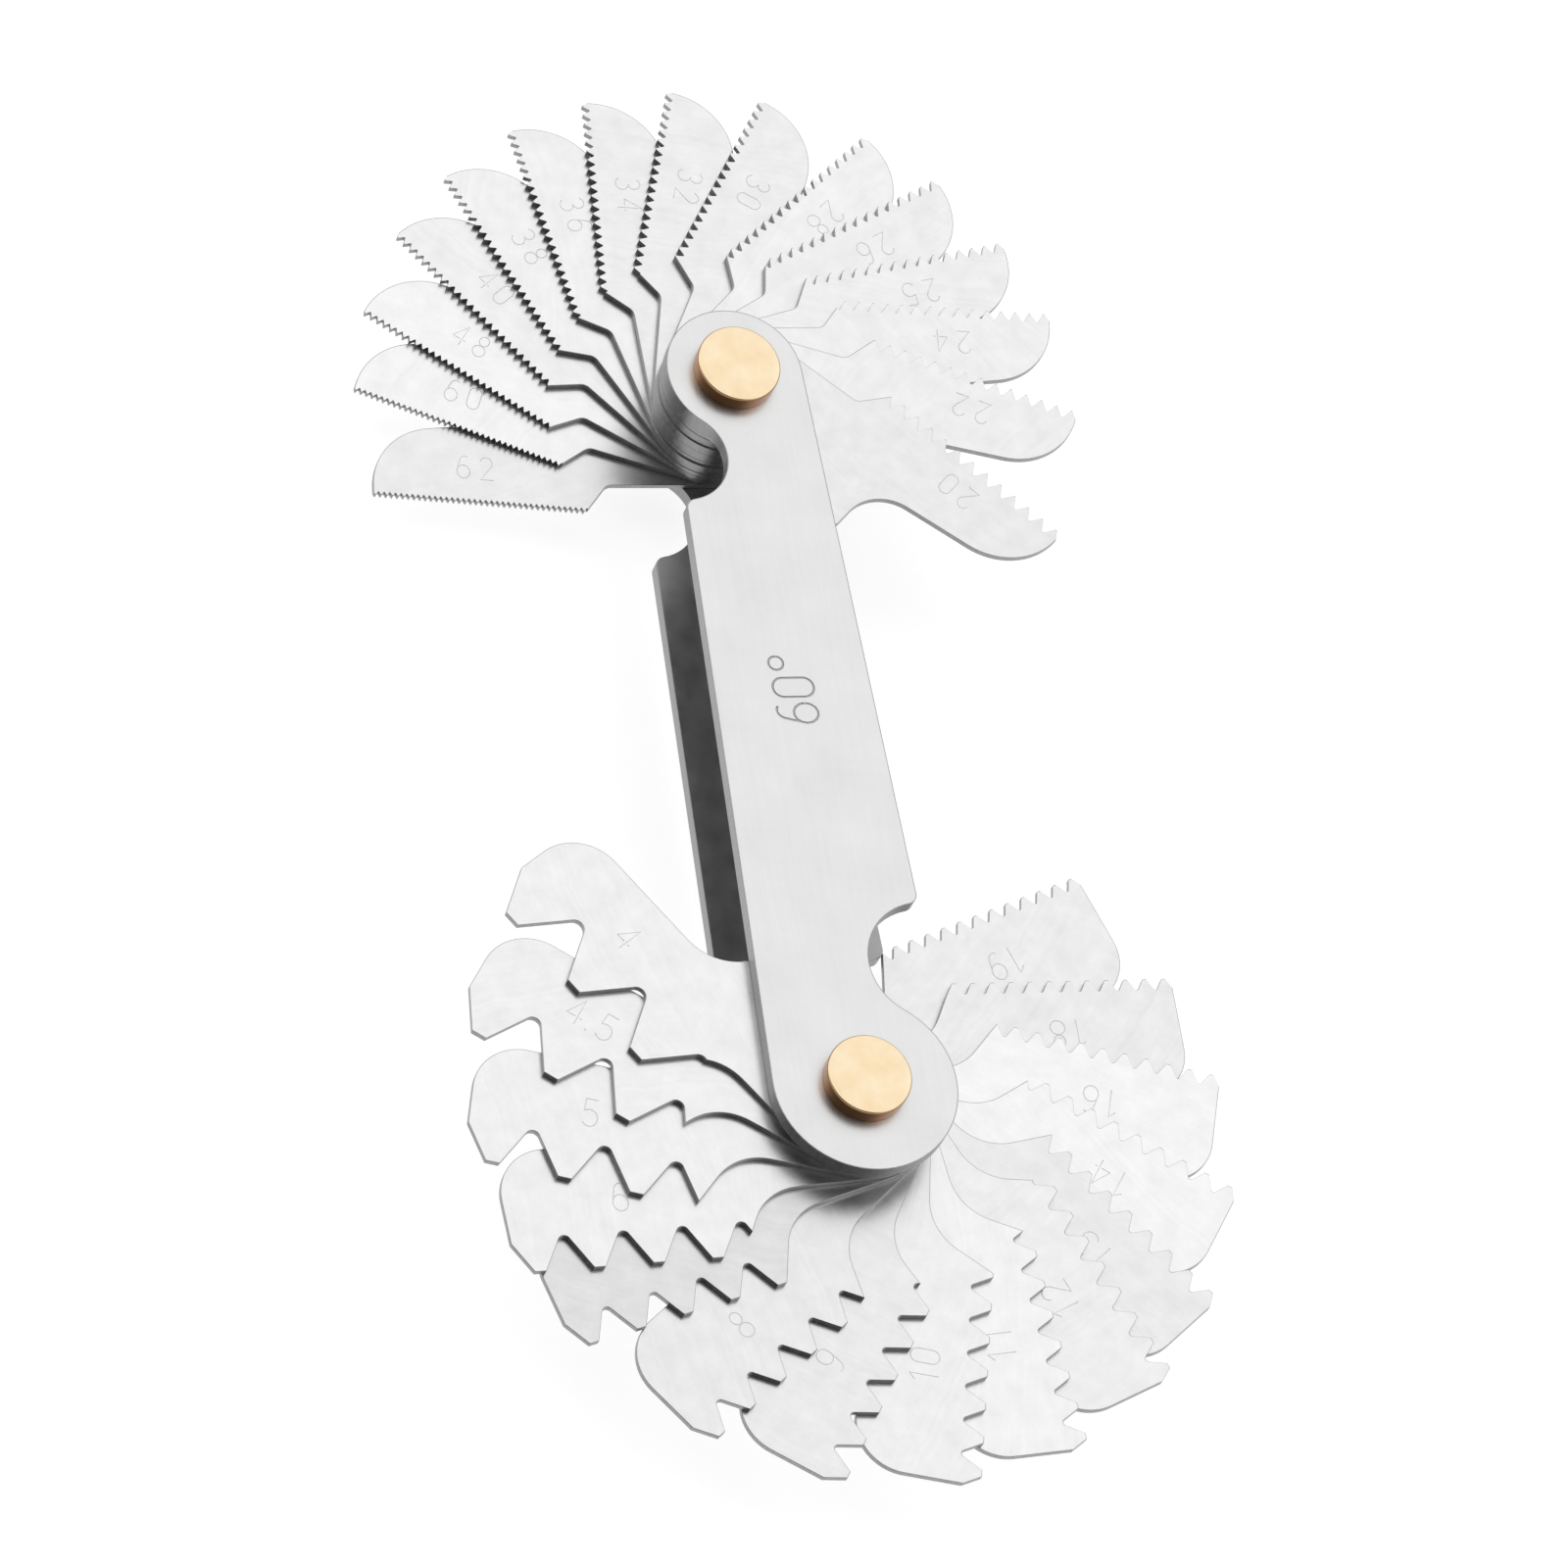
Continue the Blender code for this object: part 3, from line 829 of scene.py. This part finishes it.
def blank_outline(blank, ground_off):
    """The leaf before its teeth are cut, from the round end by the back edge to the neck."""
    radius, neck, hump = blank["root_radius"] - ground_off, blank["neck"], blank["hump"]
    start = math.atan2(neck[1], neck[0]) + math.acos(radius / math.hypot(neck[0], neck[1]))
    end = math.atan2(hump[1], hump[0]) - math.acos(radius / math.hypot(hump[0], hump[1]))
    corners = [(x, y, 0) for x, y in arc((0, 0), radius, start, 2 * math.pi + end)]
    corners += [hump, blank["dip"], blank["back"]]
    corners += [(blank["back"][0], blank["crest_line"], 0)]
    corners += [(blank["neck_top"], blank["crest_line"], 0), neck]
    return rounded(corners)


def valleys(blank, form, pitch):
    """Where the first valley is cut, just off the tip, and how many there are."""
    tip = blank["back"][0]
    first = tip + ((1 - form["crest"]) / 2 - SETBACK) * pitch
    crests = (tip - (SETBACK + form["crest"]) * pitch - blank["neck_top"]) / pitch
    return first, math.floor(crests) + 2


# %% [markdown]
# ## Cutting all thirty leaves
# The joints say how far each leaf turns to lie between the covers, so each leaf's angle
# is the folded direction less that turn. The name of the leaf's body holds the threads
# per inch, which sets the pitch of the teeth and the engraved number. A leaf is cut
# along its own axes, given its UV map and its tone, and then its vertices are taken to
# its place.

# %% Cut, place and finish the leaves
FOLDED = {"fine": -106.0, "coarse": 70.0}      # the direction of a folded leaf, in degrees
MARK_WIDTH = 0.09 * MM
SHARP_EDGE = math.radians(20)
SEED = 62
OWN_TONES = (0.45, 1.0)      # a leaf's own tone, from 0 at the greyest to 1
GREYEST_LEAF = "7"
GRAIN_SHIFTS = (5, 60)       # how far a leaf's grain is shifted, in mm
chance = random.Random(SEED)


def spread_grain(mesh, turn, shift, tone):
    """Gives a leaf its UV map in millimetres, turned and shifted, and its tone."""
    place = np.empty(len(mesh.vertices) * 3, np.float32)
    mesh.vertices.foreach_get("co", place)
    corner = np.empty(len(mesh.loops), np.int32)
    mesh.loops.foreach_get("vertex_index", corner)
    x, y = (place.reshape(-1, 3)[corner, :2] / MM).T
    cos, sin = math.cos(turn), math.sin(turn)
    grain = mesh.uv_layers.new(name="blade")
    uv = np.stack([x * cos - y * sin + shift, x * sin + y * cos + shift], 1)
    grain.data.foreach_set("uv", uv.astype(np.float32).ravel())
    value = mesh.attributes.new("tone", "FLOAT", "POINT")
    value.data.foreach_set("value", np.full(len(mesh.vertices), tone, np.float32))


def smooth(mesh):
    """Shades the sides smooth and keeps the flat faces exactly flat."""
    mesh.shade_smooth()
    mesh.set_sharp_from_angle(angle=SHARP_EDGE)
    for face in mesh.polygons:
        if abs(face.normal.z) > FLAT_FACE:
            face.use_smooth = False


def finish_piece(name, mesh, body, node_name):
    """Makes the finished piece, which rides on its body and stands for its CAD node."""
    smooth(mesh)
    piece = link(name, mesh)
    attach(piece, body)
    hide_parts(node_name)
    return piece


def cut_leaf(joint):
    """Makes the leaf that this joint turns."""
    node_name = joint["child"] + "_tpi"
    mark = joint["child"].removeprefix("leaf_").replace("_", ".")
    end = min(PIVOTS, key=lambda e: abs(PIVOTS[e].y - joint["pos_m"][1]))
    blank, form = BLANKS[end], FORMS[end]
    pitch = INCH / float(mark)
    outlines = [blank_outline(blank, chance.uniform(0, ROOT_SPREAD)), hole((0, 0), RIVET_HOLE)]
    body = plate("blank", outlines, 0.0, LEAF_THICKNESS, LEAF_EDGE_BREAK)
    mark_place = (blank["mark"][0], blank["mark"][1] - blank["mark_drop"] * pitch)
    strokes = engraving_cutter(mark, blank["mark_step"], blank["mark_height"], mark_place,
                               math.pi, LEAF_THICKNESS, MARK_WIDTH)
    cutter = thread_cutter("cutter", form["crest"], form["root"], pitch)
    first, count = valleys(blank, form, pitch)
    mesh = run_tree(CUTTING, body, {
        "Cutter": cutter, "Marks": strokes, "Pitch": pitch, "Valleys": count,
        "First valley": first, "Crest line": blank["crest_line"],
        "Steel": leaf_steel, "Edge steel, painted shade": edge_steel_painted_shade, "Mark shade": faint_mark_dirt_and_shade})
    for tool in (strokes, cutter):
        bpy.data.objects.remove(tool, do_unlink=True)
    tone = chance.uniform(*OWN_TONES) if mark != GREYEST_LEAF else 0.0
    spread_grain(mesh, chance.uniform(0, 2 * math.pi), chance.uniform(*GRAIN_SHIFTS), tone)
    opened = math.radians(FOLDED[end] - joint["axis"][2] * joint["range_deg"][1])
    low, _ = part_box(node_name)
    place = Matrix.Translation((PIVOTS[end].x, PIVOTS[end].y, low.z))
    mesh.transform(place @ Matrix.Rotation(opened, 4, "Z"))
    return finish_piece(f"leaf_{mark}_blade", mesh, joint["child"], node_name)


leaves = [cut_leaf(joint) for joint in frame["joints"]]
print(len(leaves), "leaves,", sum(len(leaf.data.polygons) for leaf in leaves), "faces")

# %% [markdown]
# ## The covers
# Both covers are the same tapered plate, with a round end about each rivet and a nail
# notch beside it, at opposite corners. The front one carries the thread's angle, which
# is the same for every leaf. It is engraved by the same tree as the leaves, with no
# valleys to cut.

# %% Make the covers
FINE_END, COARSE_END = 5.0 * MM, 6.65 * MM
FINE_NOTCH, COARSE_NOTCH = 3.5 * MM, 4.5 * MM
NOTCH_MOUTH_ROUND = 0.8 * MM
COVER_EDGE_BREAK = 0.07 * MM
ANGLE_MARK = {"text": "60°", "step": 0.69, "height": 3.0 * MM, "centre": (0.03 * MM, -25.26 * MM)}
ANGLE_MARK_WIDTH = 0.20 * MM


def cover_end(end_radius, notch_radius, lean):
    """One end about its rivet, pointing down -Y with its notch on the +X side.

    The notch is an arc centred on the cover's straight side and tangent to the round end.
    """
    normal = Vector((math.cos(lean), math.sin(lean)))
    along = Vector((-math.sin(lean), math.cos(lean)))
    reach = math.sqrt((end_radius + notch_radius) ** 2 - end_radius ** 2)
    notch = end_radius * normal + reach * along
    mouth_reach = math.sqrt((notch_radius + NOTCH_MOUTH_ROUND) ** 2 - NOTCH_MOUTH_ROUND ** 2)
    mouth = notch - NOTCH_MOUTH_ROUND * normal + mouth_reach * along
    to_notch = math.atan2(notch.y, notch.x)
    to_mouth = math.atan2(mouth.y - notch.y, mouth.x - notch.x)
    round_end = arc((0.0, 0.0), end_radius, math.pi - lean, 2 * math.pi + to_notch)
    notch_arc = arc(notch, notch_radius, math.pi + to_notch, to_mouth)
    mouth_arc = arc(mouth, NOTCH_MOUTH_ROUND, to_mouth - math.pi, lean)
    return round_end + notch_arc[1:] + mouth_arc[1:]


def cover_outline():
    """Both ends of a cover, and the straight tapered sides between them."""
    fine, coarse = PIVOTS["fine"], PIVOTS["coarse"]
    lean = math.asin((COARSE_END - FINE_END) / (fine.y - coarse.y))
    lower = cover_end(COARSE_END, COARSE_NOTCH, lean)
    upper = cover_end(FINE_END, FINE_NOTCH, -lean)
    return ([(coarse.x + x, coarse.y + y) for x, y in lower]
            + [(fine.x - x, fine.y - y) for x, y in upper])


def make_cover(node_name, marked):
    """Makes a cover. The marked one is in front, so its lower face is the inner one."""
    low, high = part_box(node_name)
    outlines = [cover_outline()] + [hole(pivot.xy, RIVET_HOLE) for pivot in PIVOTS.values()]
    mesh = plate(node_name, outlines, low.z, high.z, COVER_EDGE_BREAK)
    values = {"Valleys": 0, "Steel": cover_steel, "Edge steel, painted shade": edge_steel_painted_shade,
              "Mark shade": deep_mark_dirt_and_shade}
    if marked:
        values["Marks"] = engraving_cutter(
            ANGLE_MARK["text"], ANGLE_MARK["step"], ANGLE_MARK["height"], ANGLE_MARK["centre"],
            math.pi / 2, high.z, ANGLE_MARK_WIDTH)
    mesh = run_tree(CUTTING, mesh, values)
    if marked:
        bpy.data.objects.remove(values["Marks"], do_unlink=True)
    # The inner face gets the steel whose dark tone is painted shade.
    inner = low.z if marked else high.z
    mesh.materials.append(inner_face_painted_shade)
    for face in mesh.polygons:
        if abs(face.center.z - inner) < WELD:
            face.material_index = len(mesh.materials) - 1
    return finish_piece(node_name + "_plate", mesh, "handle", node_name)


covers = [make_cover("front_cover", True), make_cover("back_cover", False)]
print("covers", [len(cover.data.polygons) for cover in covers], "faces")

# %% [markdown]
# ## The rivets
# A rivet is a turned part: half its outline, from the axis out, spun round by a Screw
# modifier. The rim of each head has a small round, drawn as an arc, which catches the
# light as a thin bright ring.

# %% Turn the rivets
SHANK_RADIUS = 1.5 * MM
HEAD_HEIGHT = 1.2 * MM
RIM_ROUND = 0.14 * MM
FLAT_HOLD = 0.03 * MM         # a last ring that keeps the face flat up to its rim
TURN_STEPS = 96
AXIS_WELD = 0.01 * MM         # points this close on the axis are one


def turn_rivet(end):
    """Makes the rivet of one end, from half its outline."""
    node_name = end + "_rivet"
    low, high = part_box(node_name)
    middle = (low.z + high.z) / 2
    head_radius = (high.x - low.x) / 2
    top = high.z - middle
    rim = arc((head_radius - RIM_ROUND, top - RIM_ROUND), RIM_ROUND, math.pi / 2, 0.0)
    flat_edge = (head_radius - RIM_ROUND - FLAT_HOLD, top)
    upper = [(0.0, top), flat_edge] + rim
    upper += [(head_radius, top - HEAD_HEIGHT), (SHANK_RADIUS, top - HEAD_HEIGHT)]
    profile = upper + [(x, -z) for x, z in reversed(upper)]
    mesh = bpy.data.meshes.new(node_name)
    edges = [(i, i + 1) for i in range(len(profile) - 1)]
    mesh.from_pydata([(x, 0.0, z) for x, z in profile], edges, [])
    mesh.materials.append(BRASS[end])
    item = link(node_name, mesh)
    screw = item.modifiers.new("turn", "SCREW")
    screw.steps = screw.render_steps = TURN_STEPS
    screw.use_merge_vertices = True
    screw.merge_threshold = AXIS_WELD
    turned = to_mesh(item)
    turned.transform(Matrix.Translation((PIVOTS[end].x, PIVOTS[end].y, middle)))
    return finish_piece(node_name + "_turned", turned, "handle", node_name)


rivets = [turn_rivet(end) for end in PIVOTS]
print("rivets", [len(rivet.data.polygons) for rivet in rivets], "faces")
